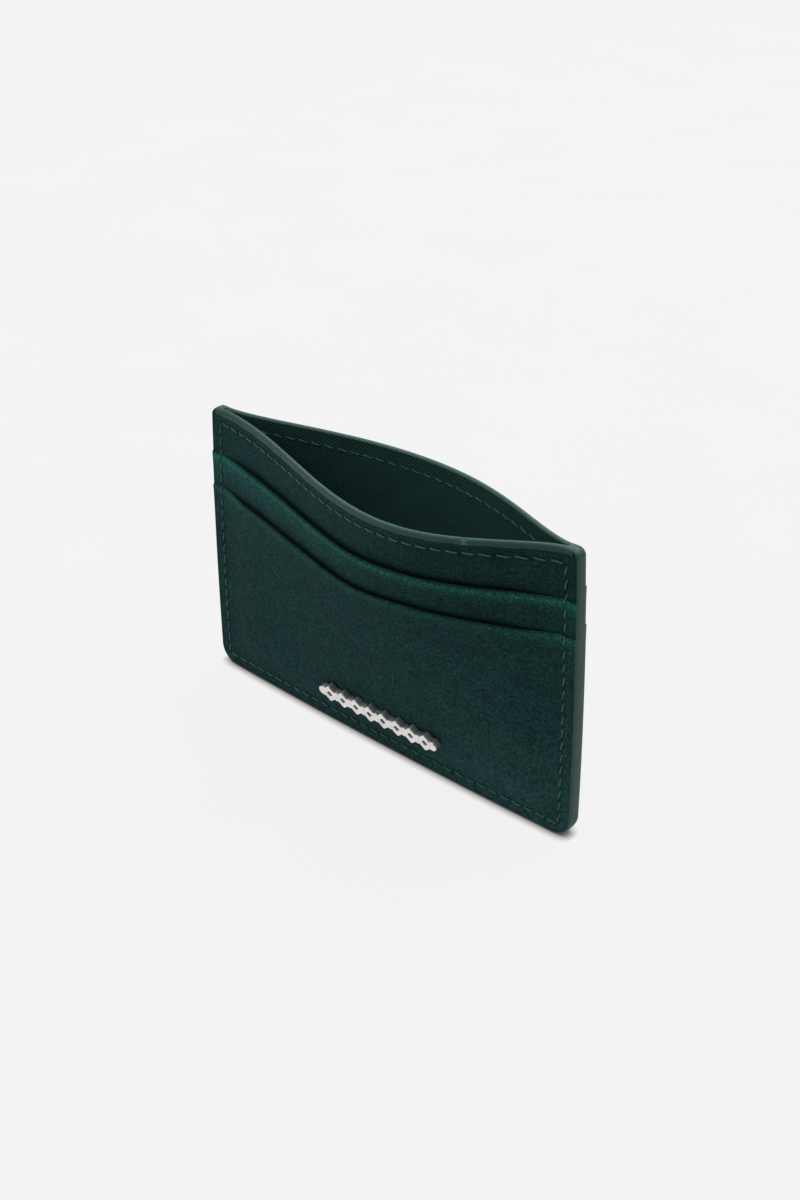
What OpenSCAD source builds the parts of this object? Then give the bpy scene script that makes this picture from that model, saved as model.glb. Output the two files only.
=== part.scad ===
// Suede card holder that stands on its bottom seam with the centre pocket open.
// Two bowed walls meet in one sewn seam along both sides and the bottom. Each wall is
// a lining, a stiffener and a body panel, and carries two overlapping card pockets.
// X runs along the width, the front faces -Y, and Z = 0 is the edge it stands on.
// Positions on a wall are given as (x, s): s is the height measured along the wall.

/* [Overall] */
// Width along the bottom edge
overall_width = 105; // [100:0.5:112]
// Height along the side seams
overall_height = 68; // [66:0.5:74]
// Radius of the two bottom corners
corner_radius = 4.5; // [4:0.5:10]
// Distance from the side and bottom edges to the stitched line where the walls part
seam_allowance = 3.2; // [2.5:0.1:4]

/* [Open mouth] */
// Bow of the front wall at its rim
front_bow = 13.6; // [5:0.1:16]
// Bow of the back wall at its rim
back_bow = 11.2; // [5:0.1:16]
// How sharply the front bow dies away towards the side seams
front_fullness = 1.43; // [1.2:0.01:2]
// How sharply the back bow dies away towards the side seams
back_fullness = 1.71; // [1.2:0.01:2]
// Shift of the front bow's highest place, negative towards +X
front_skew = -0.24; // [-0.4:0.01:0.4]
// Shift of the back bow's highest place, negative towards +X
back_skew = -0.08; // [-0.4:0.01:0.4]
// How far the opening of the mouth draws in each top corner
top_draw_in = 2.2; // [0:0.1:4]
// Forward bow of the bottom seam at its middle
bottom_bow = 0.85; // [0:0.05:1.5]

/* [Leather] */
// Thickness of the twill lining
lining_thickness = 0.23; // [0.15:0.01:0.4]
// Thickness of the stiffener between lining and body panel
stiffener_thickness = 0.28; // [0.2:0.01:0.5]
// Thickness of the suede body panels
body_thickness = 0.75; // [0.5:0.01:1]
// Thickness of the suede card pockets
pocket_thickness = 0.5; // [0.3:0.01:0.7]
// Thickness of a card pocket where it is pared down in the seam
pared_thickness = 0.12; // [0.1:0.01:0.25]
// Thickness of the paint on the cut edges
paint_thickness = 0.3; // [0.2:0.05:0.5]

/* [Card pockets] */
// Height of the upper pocket's rim
upper_rim = 57.4; // [54:0.1:60]
// Height of the lower pocket's rim
lower_rim = 49.6; // [46:0.1:52]
// How much higher both pocket rims stand on the back
back_rim_rise = 2.7; // [0:0.1:4]
// Room that each pocket has worn in for a card
slot_slack = 0.4; // [0.35:0.05:0.8]
// Height of the hidden seam that a card in the upper pocket stands on
slot_foot = 9; // [8:0.5:9.5]

/* [Stitching] */
// Distance from one needle hole to the next
stitch_pitch = 3.1; // [2.6:0.1:4]
// Length of thread that shows in each stitch
stitch_length = 2.4; // [1.8:0.1:2.6]
// Radius of the thread
thread_radius = 0.17; // [0.12:0.01:0.25]
// How far a stitch slants across its line
stitch_slant = 0.3; // [0:0.05:0.5]
// Distance of the side and bottom stitches from the edge
seam_line = 2.9; // [2.4:0.1:3.1]
// Distance of the rim stitches from the rim
rim_line = 3.3; // [2.8:0.1:4]

/* [Badge] */
// Length of the badge
badge_length = 34.5; // [24:0.5:38]
// Height of the badge's links
badge_height = 4.8; // [4:0.1:6]
// Thickness of the badge
badge_thickness = 1.8; // [1:0.1:2.5]
// Place of the badge's middle along the width
badge_x = 4; // [-20:0.1:20]
// Place of the badge's middle above the bottom edge
badge_s = 12.4; // [12:0.1:30]
// Number of links in the badge
badge_links = 8; // [6:1:9]
// Width of metal round each link's opening
link_width = 1.1; // [0.8:0.05:1.2]

/* [Hidden] */

FRONT = -1;
BACK = 1;
suede = [0.11, 0.20, 0.19];
raw_suede = [0.16, 0.38, 0.33];
paint = [0.30, 0.42, 0.39];
twill = [0.05, 0.10, 0.08];
board = [0.45, 0.42, 0.36];
thread = [0.28, 0.36, 0.33];
silver = [0.78, 0.78, 0.78];

// Layers of a wall, counted outwards from the plane where the two walls meet
glue = 0.02;
lining_inner = glue;
lining_outer = lining_inner + lining_thickness;
stiffener_inner = lining_outer + glue;
stiffener_outer = stiffener_inner + stiffener_thickness;
body_inner = stiffener_outer + glue;
body_outer = body_inner + body_thickness;
paring_width = 5;

// How the walls spread
skew_gain = 0.17;
front_curl = 0.12;
back_curl = 0.07;
wall_height = overall_height - seam_allowance;

// Grid of a wall sheet
columns = 20;
corner_rows = 4;
wall_rows = 8;
row_margin = 0.05;

// Badge fixings
badge_clearance = 0.03;
post_radius = 0.5;
post_spacing = badge_length * 2 / 3;
bead_radius = link_width + 0.12;
post_hole_radius = 0.55;
washer_radius = 1.5;
washer_thickness = 0.15;
probe = 0.5;

function smooth(a) = let (c = min(max(a, 0), 1)) c * c * (3 - 2 * c);
function clip(a) = min(max(a, -1), 1);

// Outline of the holder, with its drawn-in top corners and round bottom corners
function draw_in(s) = top_draw_in * pow(s / overall_height, 2);
function half_width(s) = overall_width / 2 - draw_in(s);
function seam_half(s) = half_width(s) - seam_allowance;
function corner_loss(d, r) = d >= r ? 0 : r - sqrt(max(0, r * r - (r - d) * (r - d)));
function edge_half(s, inset) =
    half_width(s) - inset - corner_loss(s - inset, corner_radius - inset);

// Shape of the open walls
function rise(s) = max(0, (s - seam_allowance) / wall_height);
function bow_shape(u, fullness, skew) =
    let (w = u + skew * (1 - u * u)) pow(max(0, 1 - w * w), fullness);
function rim_bow(side, u, t) = side == FRONT
    ? front_bow * bow_shape(u, front_fullness, front_skew + skew_gain * (1 - t))
    : back_bow * bow_shape(u, back_fullness, back_skew);
function curl(side) = side == FRONT ? front_curl : back_curl;
function lean(side, t) = t * (1 + curl(side) * (1 - t));
function drop(side, bow, t) =
    let (c = curl(side), k = 1 + c)
    bow * bow / (2 * wall_height) * (k * k * t - 2 * c * k * t * t + 4 / 3 * c * c * t * t * t);
function wall_point(side, x, s, offset) =
    let (t = rise(s), u = clip(x / seam_half(s)), bow = rim_bow(side, u, t))
    [
        x,
        side * (bow * lean(side, t) + offset) - bottom_bow * (1 - u * u) * (1 - t),
        s - drop(side, bow, t)
    ];

// Offsets of the pocket layers, which are pared thin in the seam and loose inside it
function pocket_free(x, s) =
    smooth((seam_half(s) - abs(x)) / paring_width) * smooth((s - seam_allowance) / paring_width);
function pocket_leather(x, s) =
    pared_thickness + (pocket_thickness - pared_thickness) * pocket_free(x, s);
function pocket_room(x, s) = glue + slot_slack * pocket_free(x, s);
function upper_inner(x, s) = body_outer + pocket_room(x, s);
function upper_outer(x, s) = upper_inner(x, s) + pocket_leather(x, s);
function lower_inner(x, s) = upper_outer(x, s) + pocket_room(x, s);
function lower_outer(x, s) = lower_inner(x, s) + pocket_leather(x, s);
function pocket_rim(side, rim) = side == BACK ? rim + back_rim_rise : rim;
function outer_face(side, x, s) =
    s < pocket_rim(side, lower_rim) ? lower_outer(x, s)
    : s < pocket_rim(side, upper_rim) ? upper_outer(x, s) : body_outer;

// Column position across the outline: one column each side lies in the seam
function column_x(j, s, inset) =
    let (
        q = 2 * j / columns - 1,
        seam_q = 1 - 2 / columns,
        edge = edge_half(s, inset),
        inner = min(seam_half(s), edge - seam_allowance / 2)
    )
    abs(q) <= seam_q + glue / columns
        ? q / seam_q * inner
        : sign(q) * (inner + (abs(q) - seam_q) / (1 - seam_q) * (edge - inner));

// Heights of the rows of a sheet that reaches from the bottom seam up to a rim
function sheet_rows(inset, high) =
    let (r = corner_radius - inset, start = inset + r)
    concat(
        [for (i = [0 : corner_rows - 1]) inset + r * (1 - cos(90 * i / corner_rows))],
        [for (i = [0 : wall_rows]) start + (high - start) * i / wall_rows]
    );

// A closed sheet on one wall between two offset surfaces, given as functions of (x, s)
module sheet(side, inner, outer, rows, inset) {
    n = columns + 1;
    m = len(rows);
    grid = [for (s = rows) for (j = [0 : columns]) [column_x(j, s, inset), s]];
    inner_points = [for (p = grid) wall_point(side, p[0], p[1], inner(p[0], p[1]))];
    outer_points = [for (p = grid) wall_point(side, p[0], p[1], outer(p[0], p[1]))];
    half = n * m;
    cells = [for (i = [0 : m - 2]) for (j = [0 : columns - 1]) i * n + j];
    ring = concat(
        [for (j = [0 : columns]) j],
        [for (i = [1 : m - 1]) i * n + columns],
        [for (j = [columns - 1 : -1 : 0]) (m - 1) * n + j],
        [for (i = [m - 2 : -1 : 1]) i * n]
    );
    faces = concat(
        [for (a = cells) [a, a + n, a + n + 1]],
        [for (a = cells) [a, a + n + 1, a + 1]],
        [for (a = cells) [half + a, half + a + n + 1, half + a + n]],
        [for (a = cells) [half + a, half + a + 1, half + a + n + 1]],
        [for (k = [0 : len(ring) - 1]) let (a = ring[k], b = ring[(k + 1) % len(ring)]) [a, b, b + half]],
        [for (k = [0 : len(ring) - 1]) let (a = ring[k], b = ring[(k + 1) % len(ring)]) [a, b + half, a + half]]
    );
    turned = side == FRONT ? [for (f = faces) [f[2], f[1], f[0]]] : faces;
    polyhedron(concat(inner_points, outer_points), turned);
}

// A round rod between two points
module rod(a, b, r) {
    d = b - a;
    translate(a)
        rotate([0, acos(d[2] / norm(d)), atan2(d[1], d[0])])
            cylinder(h = norm(d), r = r, $fn = 16);
}

// One stitch on a wall, laid along (dx, ds) with its middle at (x, s)
module stitch(side, x, s, dx, ds, offset) {
    along = stitch_length / 2;
    across = stitch_slant / 2;
    ax = x - dx * along - ds * across;
    as = s - ds * along + dx * across;
    bx = x + dx * along + ds * across;
    bs = s + ds * along - dx * across;
    rod(wall_point(side, ax, as, offset), wall_point(side, bx, bs, offset), thread_radius);
}

// The stitched rim of one wall: thread shows on the suede and on the lining
module rim_stitches(side) {
    s = overall_height - rim_line;
    reach = seam_half(s) - stitch_pitch / 2;
    count = round(2 * reach / stitch_pitch);
    for (i = [0 : count]) {
        x = reach * (2 * i / count - 1);
        stitch(side, x, s, 1, 0, body_outer + thread_radius);
        if (i > 0 && i < count)
            stitch(side, x, s, 1, 0, lining_inner - thread_radius - glue);
    }
}

// The seam along one side, the bottom and the other side, on one face of the holder
function seam_height(i, count) =
    let (top = overall_height - rim_line - stitch_pitch / 2, low = corner_radius)
    low + (top - low) * i / count;

module seam_stitches(side) {
    side_count = round((overall_height - rim_line - corner_radius) / stitch_pitch - 1 / 2);
    bottom_half = overall_width / 2 - corner_radius;
    bottom_count = round(2 * bottom_half / stitch_pitch);
    for (sign_x = [-1, 1]) {
        for (i = [0 : side_count]) {
            s = seam_height(i, side_count);
            x = sign_x * (half_width(s) - seam_line);
            stitch(side, x, s, 0, sign_x, outer_face(side, x, s) + thread_radius);
        }
    }
    for (i = [0 : bottom_count]) {
        x = bottom_half * (2 * i / bottom_count - 1);
        stitch(side, x, seam_line, 1, 0, outer_face(side, x, seam_line) + thread_radius);
    }
}

// The hidden seam through upper pocket and body panel, behind the lower pocket
module slot_foot_stitches(side) {
    reach = seam_half(slot_foot) - paring_width - stitch_pitch;
    count = round(2 * reach / stitch_pitch);
    for (i = [0 : count]) {
        x = reach * (2 * i / count - 1);
        stitch(side, x, slot_foot, 1, 0, upper_outer(x, slot_foot) + (glue + slot_slack) / 2);
    }
}

// Paint on the cut top edge of one wall
module rim_paint(side) {
    color(paint)
        sheet(side, function(x, s) lining_inner, function(x, s) body_outer,
            [overall_height - paint_thickness + glue, overall_height], 0);
}

// Points down the left side, along the bottom and up the right side, as [x, s]
function side_heights() =
    let (top = overall_height - paint_thickness)
    [
        for (i = [0 : 2]) top - (top - upper_rim - row_margin) * i / 2,
        for (i = [0 : 2]) upper_rim - (upper_rim - lower_rim - row_margin) * i / 2,
        for (i = [0 : wall_rows]) lower_rim - (lower_rim - corner_radius) * i / wall_rows
    ];
function right_edge(inset) = concat(
    [for (s = side_heights()) [half_width(s) - inset, s]],
    [
        for (i = [1 : corner_rows * 2])
            let (a = 90 * i / (corner_rows * 2), r = corner_radius - inset)
            let (s = corner_radius - r * sin(a))
            [overall_width / 2 - draw_in(s) - corner_radius + r * cos(a), s]
    ]
);
function reversed(list) = [for (i = [len(list) - 1 : -1 : 0]) list[i]];
function mirrored(list) = [for (p = list) [-p[0], p[1]]];
function bottom_run(inset) =
    let (half = overall_width / 2 - corner_radius)
    [for (i = [1 : columns]) [half * (1 - 2 * i / (columns + 1)), inset]];
function edge_path(inset) =
    concat(right_edge(inset), bottom_run(inset), reversed(mirrored(right_edge(inset))));

module badge_place() {
    p = wall_point(FRONT, badge_x, badge_s, lower_outer(badge_x, badge_s));
    right = wall_point(FRONT, badge_x + probe, badge_s, lower_outer(badge_x + probe, badge_s));
    above = wall_point(FRONT, badge_x, badge_s + probe, lower_outer(badge_x, badge_s + probe));
    turn = atan2(right[1] - p[1], right[0] - p[0]);
    tip = atan2(p[1] - above[1], above[2] - p[2]);
    translate(p) rotate([0, 0, turn]) rotate([90 + tip, 0, 0]) children();
}

module lozenge(length, height) {
    polygon([[-length / 2, 0], [0, -height / 2], [length / 2, 0], [0, height / 2]]);
}

module front_lining() {
    color(twill)
        sheet(FRONT, function(x, s) lining_inner, function(x, s) lining_outer,
            sheet_rows(paint_thickness, overall_height - paint_thickness), paint_thickness);
}

module back_lining() {
    color(twill)
        sheet(BACK, function(x, s) lining_inner, function(x, s) lining_outer,
            sheet_rows(paint_thickness, overall_height - paint_thickness), paint_thickness);
}

module front_stiffener() {
    color(board)
        sheet(FRONT, function(x, s) stiffener_inner, function(x, s) stiffener_outer,
            sheet_rows(paint_thickness, overall_height - paint_thickness), paint_thickness);
}

module back_stiffener() {
    color(board)
        sheet(BACK, function(x, s) stiffener_inner, function(x, s) stiffener_outer,
            sheet_rows(paint_thickness, overall_height - paint_thickness), paint_thickness);
}

module front_body_panel() {
    color(suede)
        sheet(FRONT, function(x, s) body_inner, function(x, s) body_outer,
            sheet_rows(paint_thickness, overall_height - paint_thickness), paint_thickness);
}

module back_body_panel() {
    color(suede)
        sheet(BACK, function(x, s) body_inner, function(x, s) body_outer,
            sheet_rows(paint_thickness, overall_height - paint_thickness), paint_thickness);
}

module front_upper_pocket() {
    color(suede)
        sheet(FRONT, function(x, s) upper_inner(x, s), function(x, s) upper_outer(x, s),
            sheet_rows(paint_thickness, upper_rim), paint_thickness);
}

module back_upper_pocket() {
    color(suede)
        sheet(BACK, function(x, s) upper_inner(x, s), function(x, s) upper_outer(x, s),
            sheet_rows(paint_thickness, pocket_rim(BACK, upper_rim)), paint_thickness);
}

// The front lower pocket is punched for the badge's two posts
module front_lower_pocket() {
    color(raw_suede)
        difference() {
            sheet(FRONT, function(x, s) lower_inner(x, s), function(x, s) lower_outer(x, s),
                sheet_rows(paint_thickness, lower_rim), paint_thickness);
            badge_place()
                for (x = [-post_spacing / 2, post_spacing / 2])
                    translate([x, 0, 0])
                        cylinder(h = 4 * pocket_thickness, r = post_hole_radius, center = true, $fn = 24);
        }
}

module back_lower_pocket() {
    color(raw_suede)
        sheet(BACK, function(x, s) lower_inner(x, s), function(x, s) lower_outer(x, s),
            sheet_rows(paint_thickness, pocket_rim(BACK, lower_rim)), paint_thickness);
}

module front_rim_paint() {
    rim_paint(FRONT);
}

module back_rim_paint() {
    rim_paint(BACK);
}

// Paint over the cut edges of every layer, down both sides and along the bottom
module side_and_bottom_edge_paint() {
    outside = edge_path(0);
    inside = edge_path(paint_thickness - glue);
    count = len(outside);
    points = [
        for (k = [0 : count - 1])
            let (
                o = outside[k],
                i = inside[k],
                front = outer_face(FRONT, o[0], o[1]),
                back = outer_face(BACK, o[0], o[1])
            )
            each [
                wall_point(FRONT, o[0], o[1], front),
                wall_point(BACK, o[0], o[1], back),
                wall_point(BACK, i[0], i[1], back),
                wall_point(FRONT, i[0], i[1], front)
            ]
    ];
    walls = [
        for (k = [0 : count - 2]) for (e = [0 : 3])
            let (a = 4 * k + e, b = 4 * k + (e + 1) % 4)
            each [[a, b, b + 4], [a, b + 4, a + 4]]
    ];
    last = 4 * (count - 1);
    color(paint)
        polyhedron(points, concat(walls, [[3, 2, 1, 0], [last, last + 1, last + 2, last + 3]]));
}

module front_rim_thread() {
    color(thread) rim_stitches(FRONT);
}

module back_rim_thread() {
    color(thread) rim_stitches(BACK);
}

module front_seam_thread() {
    color(thread) seam_stitches(FRONT);
}

module back_seam_thread() {
    color(thread) seam_stitches(BACK);
}

module front_slot_foot_thread() {
    color(thread) slot_foot_stitches(FRONT);
}

module back_slot_foot_thread() {
    color(thread) slot_foot_stitches(BACK);
}

// A polished openwork bar of lozenge links with a bead at each joint
module badge() {
    link = (badge_length - 2 * bead_radius) / badge_links;
    color(silver)
        badge_place()
            translate([0, 0, badge_clearance])
                linear_extrude(badge_thickness) {
                    for (i = [0 : badge_links - 1])
                        translate([(i - (badge_links - 1) / 2) * link, 0])
                            difference() {
                                lozenge(link + link_width, badge_height);
                                lozenge(link - 2 * link_width, badge_height - 3 * link_width);
                            }
                    for (i = [0 : badge_links])
                        translate([(i - badge_links / 2) * link, 0])
                            circle(r = bead_radius, $fn = 24);
                }
}

// Two posts hold the badge through the lower pocket
module badge_posts() {
    reach = pocket_thickness + washer_thickness;
    color(silver)
        badge_place()
            for (x = [-post_spacing / 2, post_spacing / 2])
                translate([x, 0, -reach])
                    cylinder(h = reach + badge_clearance - glue / 2, r = post_radius, $fn = 24);
}

// A push-on washer grips each post behind the lower pocket
module badge_washers() {
    color(silver)
        badge_place()
            for (x = [-post_spacing / 2, post_spacing / 2])
                translate([x, 0, -pocket_thickness - washer_thickness - badge_clearance])
                    difference() {
                        cylinder(h = washer_thickness, r = washer_radius, $fn = 24);
                        translate([0, 0, -glue])
                            cylinder(h = washer_thickness + 2 * glue, r = post_radius, $fn = 24);
                    }
}

front_lining();
back_lining();
front_stiffener();
back_stiffener();
front_body_panel();
back_body_panel();
front_upper_pocket();
back_upper_pocket();
front_lower_pocket();
back_lower_pocket();
front_rim_paint();
back_rim_paint();
side_and_bottom_edge_paint();
front_rim_thread();
back_rim_thread();
front_seam_thread();
back_seam_thread();
front_slot_foot_thread();
back_slot_foot_thread();
badge();
badge_posts();
badge_washers();
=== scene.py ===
import math

import bmesh
import bpy
import numpy as np
from mathutils import Matrix, Vector


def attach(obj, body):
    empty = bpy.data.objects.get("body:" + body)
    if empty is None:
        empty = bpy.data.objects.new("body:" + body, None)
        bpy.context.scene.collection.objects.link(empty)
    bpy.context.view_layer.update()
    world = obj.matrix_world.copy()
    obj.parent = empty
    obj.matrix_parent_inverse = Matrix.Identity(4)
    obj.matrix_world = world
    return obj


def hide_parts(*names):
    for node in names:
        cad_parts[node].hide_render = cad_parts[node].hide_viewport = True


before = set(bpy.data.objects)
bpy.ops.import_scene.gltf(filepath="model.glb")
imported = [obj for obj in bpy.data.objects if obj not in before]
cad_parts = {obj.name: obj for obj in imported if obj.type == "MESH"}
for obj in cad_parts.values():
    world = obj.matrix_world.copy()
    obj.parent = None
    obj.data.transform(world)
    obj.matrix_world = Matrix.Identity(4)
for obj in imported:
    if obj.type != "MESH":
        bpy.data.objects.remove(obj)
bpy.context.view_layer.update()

MM = 0.001
FRONT, BACK = -1, 1

# Shape of the holder, in millimetres, as in the CAD
WIDTH, HEIGHT = 105.0, 68.0
CORNER, TOP_CORNER, ALLOWANCE = 4.5, 1.7, 3.2
BOW = {FRONT: 13.6, BACK: 11.2}
FULLNESS = {FRONT: 1.43, BACK: 1.71}
SKEW = {FRONT: -0.24, BACK: -0.08}
SKEW_GAIN = 0.17
CURL = {FRONT: 0.12, BACK: 0.07}
DRAW_IN, BOTTOM_BOW = 2.2, 0.85
WALL_HEIGHT = HEIGHT - ALLOWANCE
GLUE = 0.02
LINING = (0.02, 0.25)
STIFFENER = (0.27, 0.55)
BODY = (0.57, 1.32)
PARED, POCKET, SLACK = 0.12, 0.5, 0.4
SIDE_PARING, FOOT_PARING = 12.0, 8.0
PAINT = 0.3
UPPER_RIM, LOWER_RIM, SLOT_FOOT = 57.4, 49.6, 9.0
RIM_RISE = {FRONT: 0.0, BACK: 2.7}
PITCH, STITCH, THREAD, SLANT = 3.1, 2.4, 0.17, 0.4
SEAM_LINE, RIM_LINE = 2.9, 3.3
SIDE_NAME = {FRONT: "front", BACK: "back"}

# The badge and its place on the front wall, in millimetres
BADGE_X, BADGE_S = 4.0, 12.4
BADGE_LENGTH, BADGE_HEIGHT, BADGE_THICKNESS = 34.5, 4.8, 1.8
BADGE_LINKS, LINK_WIDTH = 8, 1.1
BEAD_RADIUS = LINK_WIDTH + 0.12

# Wear and looks, in millimetres
RIM_STAND_OFF = 0.45  # how far a pocket's rim stands off the leather behind it
LIP_SWELL = 0.2  # how much thicker a pocket is where its rim enters the seam
THREAD_ABOVE_SWELL = 0.8  # share of that swelling that the seam's thread follows
NICK_X = 30.0  # place of the worn nick in the front rim's paint


def smooth(a):
    c = np.clip(a, 0.0, 1.0)
    return c * c * (3 - 2 * c)


def half_width(s):
    return WIDTH / 2 - DRAW_IN * (s / HEIGHT) ** 2


def seam_half(s):
    return half_width(s) - ALLOWANCE


def corner_loss(d, r):
    return r - np.sqrt(np.maximum(0.0, r * r - np.maximum(0.0, r - d) ** 2))


def edge_half(s, inset):
    low = corner_loss(s - inset, CORNER - inset)
    high = corner_loss(HEIGHT - inset - s, TOP_CORNER - inset)
    return half_width(s) - inset - low - high


def rise(s):
    return np.maximum(0.0, (s - ALLOWANCE) / WALL_HEIGHT)


def rim_bow(side, u, t):
    skew = SKEW[side] + (SKEW_GAIN * (1 - t) if side == FRONT else 0.0)
    w = u + skew * (1 - u * u)
    return BOW[side] * np.maximum(0.0, 1 - w * w) ** FULLNESS[side]


def wall(side, x, s, offset):
    """Points on a wall, in metres, at (x, s) and an offset out from where the walls meet."""
    x, s, offset = np.broadcast_arrays(
        np.asarray(x, float), np.asarray(s, float), np.asarray(offset, float)
    )
    c = CURL[side]
    k = 1 + c
    t = rise(s)
    u = np.clip(x / seam_half(s), -1, 1)
    bow = rim_bow(side, u, t)
    lean = t * (1 + c * (1 - t))
    shortening = k * k * t - 2 * c * k * t * t + 4 / 3 * c * c * t**3
    drop = bow * bow / (2 * WALL_HEIGHT) * shortening
    y = side * (bow * lean + offset) - BOTTOM_BOW * (1 - u * u) * (1 - t)
    return np.stack([x, y, s - drop], -1) * MM


def edge_distance(x, s):
    """How far (x, s) lies inside the outline of the sides and the bottom."""
    corner_x = half_width(s) - CORNER
    in_corner = (np.abs(x) > corner_x) & (s < CORNER)
    round_part = CORNER - np.hypot(np.abs(x) - corner_x, s - CORNER)
    return np.where(in_corner, round_part, np.minimum(half_width(s) - np.abs(x), s))


def pocket_free(x, s):
    return smooth((seam_half(s) - np.abs(x)) / SIDE_PARING) * smooth(
        (s - ALLOWANCE) / FOOT_PARING
    )


def pocket_leather(x, s):
    return PARED + (POCKET - PARED) * pocket_free(x, s)


def pocket_room(x, s):
    return GLUE + SLACK * pocket_free(x, s)


def upper_inner(x, s):
    return BODY[1] + pocket_room(x, s)


def upper_outer(x, s):
    return upper_inner(x, s) + pocket_leather(x, s)


def lower_inner(x, s):
    return upper_outer(x, s) + pocket_room(x, s)


def lower_outer(x, s):
    return lower_inner(x, s) + pocket_leather(x, s)


def rim_sag(level, x):
    """How far a pocket's worn rim hangs below its cut height."""
    if level == "upper":
        middle = 0.55 * np.exp(-(((x - 2) / 11) ** 2))
        return 0.12 + middle + 0.3 * smooth((np.abs(x) - 38) / 6)
    middle = 0.65 * np.exp(-(((x - 1) / 9) ** 2))
    left = 0.6 * smooth((18 - x) / 14) + 0.2 * smooth((-36 - x) / 6)
    return 0.1 + middle + left + 0.5 * smooth((x - 34) / 8)


def cut_rim(level, side):
    return (UPPER_RIM if level == "upper" else LOWER_RIM) + RIM_RISE[side]


def rim_height(level, side, x):
    """Height of a pocket's rim as it hangs; the back is the front turned round."""
    return cut_rim(level, side) - rim_sag(level, side * -x)


def outer_face(side, x, s):
    below = np.where(
        s < rim_height("lower", side, x), lower_outer(x, s), upper_outer(x, s)
    )
    return np.where(s < rim_height("upper", side, x), below, BODY[1])


def ripple(x, s, seed, wave, size):
    """A gentle uneven surface: a few crossing waves about wave mm long and size mm high."""
    draw = np.random.RandomState(seed)
    total = np.zeros(np.broadcast(x, s).shape)
    for _ in range(9):
        angle, phase = draw.uniform(0, math.pi), draw.uniform(0, 2 * math.pi)
        length = wave * draw.uniform(0.6, 1.6)
        total = total + np.sin(
            2 * math.pi / length * (x * math.cos(angle) + s * math.sin(angle)) + phase
        )
    return total * size / 4


# Stitch lines: each stitch is (x, s, dx, ds), its middle and its direction


def rim_line_stitches():
    s = HEIGHT - RIM_LINE
    reach = seam_half(s) - PITCH / 2
    count = round(2 * reach / PITCH)
    return [(reach * (2 * i / count - 1), s, 1.0, 0.0) for i in range(count + 1)]


def seam_line_stitches():
    top = HEIGHT - RIM_LINE - PITCH / 2
    count = round((top - CORNER) / PITCH)
    bottom = WIDTH / 2 - CORNER
    bottom_count = round(2 * bottom / PITCH)
    found = []
    for sign in (-1, 1):
        for i in range(count + 1):
            s = CORNER + (top - CORNER) * i / count
            found.append((sign * (half_width(s) - SEAM_LINE), s, 0.0, float(sign)))
    for i in range(bottom_count + 1):
        found.append((bottom * (2 * i / bottom_count - 1), SEAM_LINE, 1.0, 0.0))
    return found


def slot_foot_stitches():
    reach = seam_half(SLOT_FOOT) - 5.0 - PITCH
    count = round(2 * reach / PITCH)
    return [
        (reach * (2 * i / count - 1), SLOT_FOOT, 1.0, 0.0) for i in range(count + 1)
    ]


def stitch_ends(stitch, length=STITCH, slant=SLANT):
    x, s, dx, ds = stitch
    a, b = length / 2, slant / 2
    return (x - dx * a - ds * b, s - ds * a + dx * b), (
        x + dx * a + ds * b,
        s + ds * a - dx * b,
    )


def dents(x, s, stitches, groove=0.1, hole=0.26):
    """How far thread pulls the surface in: a dent under each stitch, a needle hole at its ends."""
    depth = np.zeros(x.shape)
    reach, groove_width, hole_radius = 2.4, 0.55, 0.25
    for st in stitches:
        near = (np.abs(x - st[0]) < reach) & (np.abs(s - st[1]) < reach)
        if not near.any():
            continue
        px, ps = x[near], s[near]
        along = (px - st[0]) * st[2] + (ps - st[1]) * st[3]
        across = (px - st[0]) * st[3] - (ps - st[1]) * st[2]
        pulled = groove * np.exp(-((across / groove_width) ** 2) - (along / 1.5) ** 4)
        for ex, es in stitch_ends(st):
            r2 = (px - ex) ** 2 + (ps - es) ** 2
            pulled = np.maximum(pulled, hole * np.exp(-r2 / hole_radius**2))
        depth[near] = np.maximum(depth[near], pulled)
    return depth


# Mesh building


def signed_volume(points, quads):
    """Six times the volume inside the faces, negative when they look inwards."""
    a, b, c, d = (points[quads[:, i]] for i in range(4))
    first = np.einsum("ij,ij->", a, np.cross(b, c))
    return first + np.einsum("ij,ij->", a, np.cross(c, d))


def link_object(name, data):
    obj = bpy.data.objects.new(name, data)
    bpy.context.scene.collection.objects.link(obj)
    return obj


def shade_smooth(mesh, sharp):
    """Smooth shading, with edges sharper than an angle in degrees left hard."""
    mesh.polygons.foreach_set("use_smooth", np.ones(len(mesh.polygons), bool))
    mesh.set_sharp_from_angle(angle=math.radians(sharp))


def make_object(name, points, quads, attributes=(), sharp=50):
    """A closed mesh from points in metres and an array of quads, its faces looking outwards."""
    points = np.asarray(points, float)
    quads = np.asarray(quads, int)
    if signed_volume(points, quads) < 0:
        quads = quads[:, ::-1]
    mesh = bpy.data.meshes.new(name)
    mesh.vertices.add(len(points))
    mesh.vertices.foreach_set("co", points.ravel())
    mesh.loops.add(quads.size)
    mesh.loops.foreach_set("vertex_index", quads.ravel())
    mesh.polygons.add(len(quads))
    mesh.polygons.foreach_set("loop_start", np.arange(0, quads.size, 4))
    mesh.update(calc_edges=True)
    mesh.validate()
    shade_smooth(mesh, sharp)
    for key, values in attributes:
        values = np.asarray(values, float)
        kind = "FLOAT_VECTOR" if values.ndim == 2 else "FLOAT"
        layer = mesh.attributes.new(key, kind, "POINT")
        layer.data.foreach_set("vector" if values.ndim == 2 else "value", values.ravel())
    return link_object(name, mesh)


def add_piece(obj, nodes, material):
    obj.data.materials.append(material)
    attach(obj, "root")
    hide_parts(*nodes)
    return obj


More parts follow.
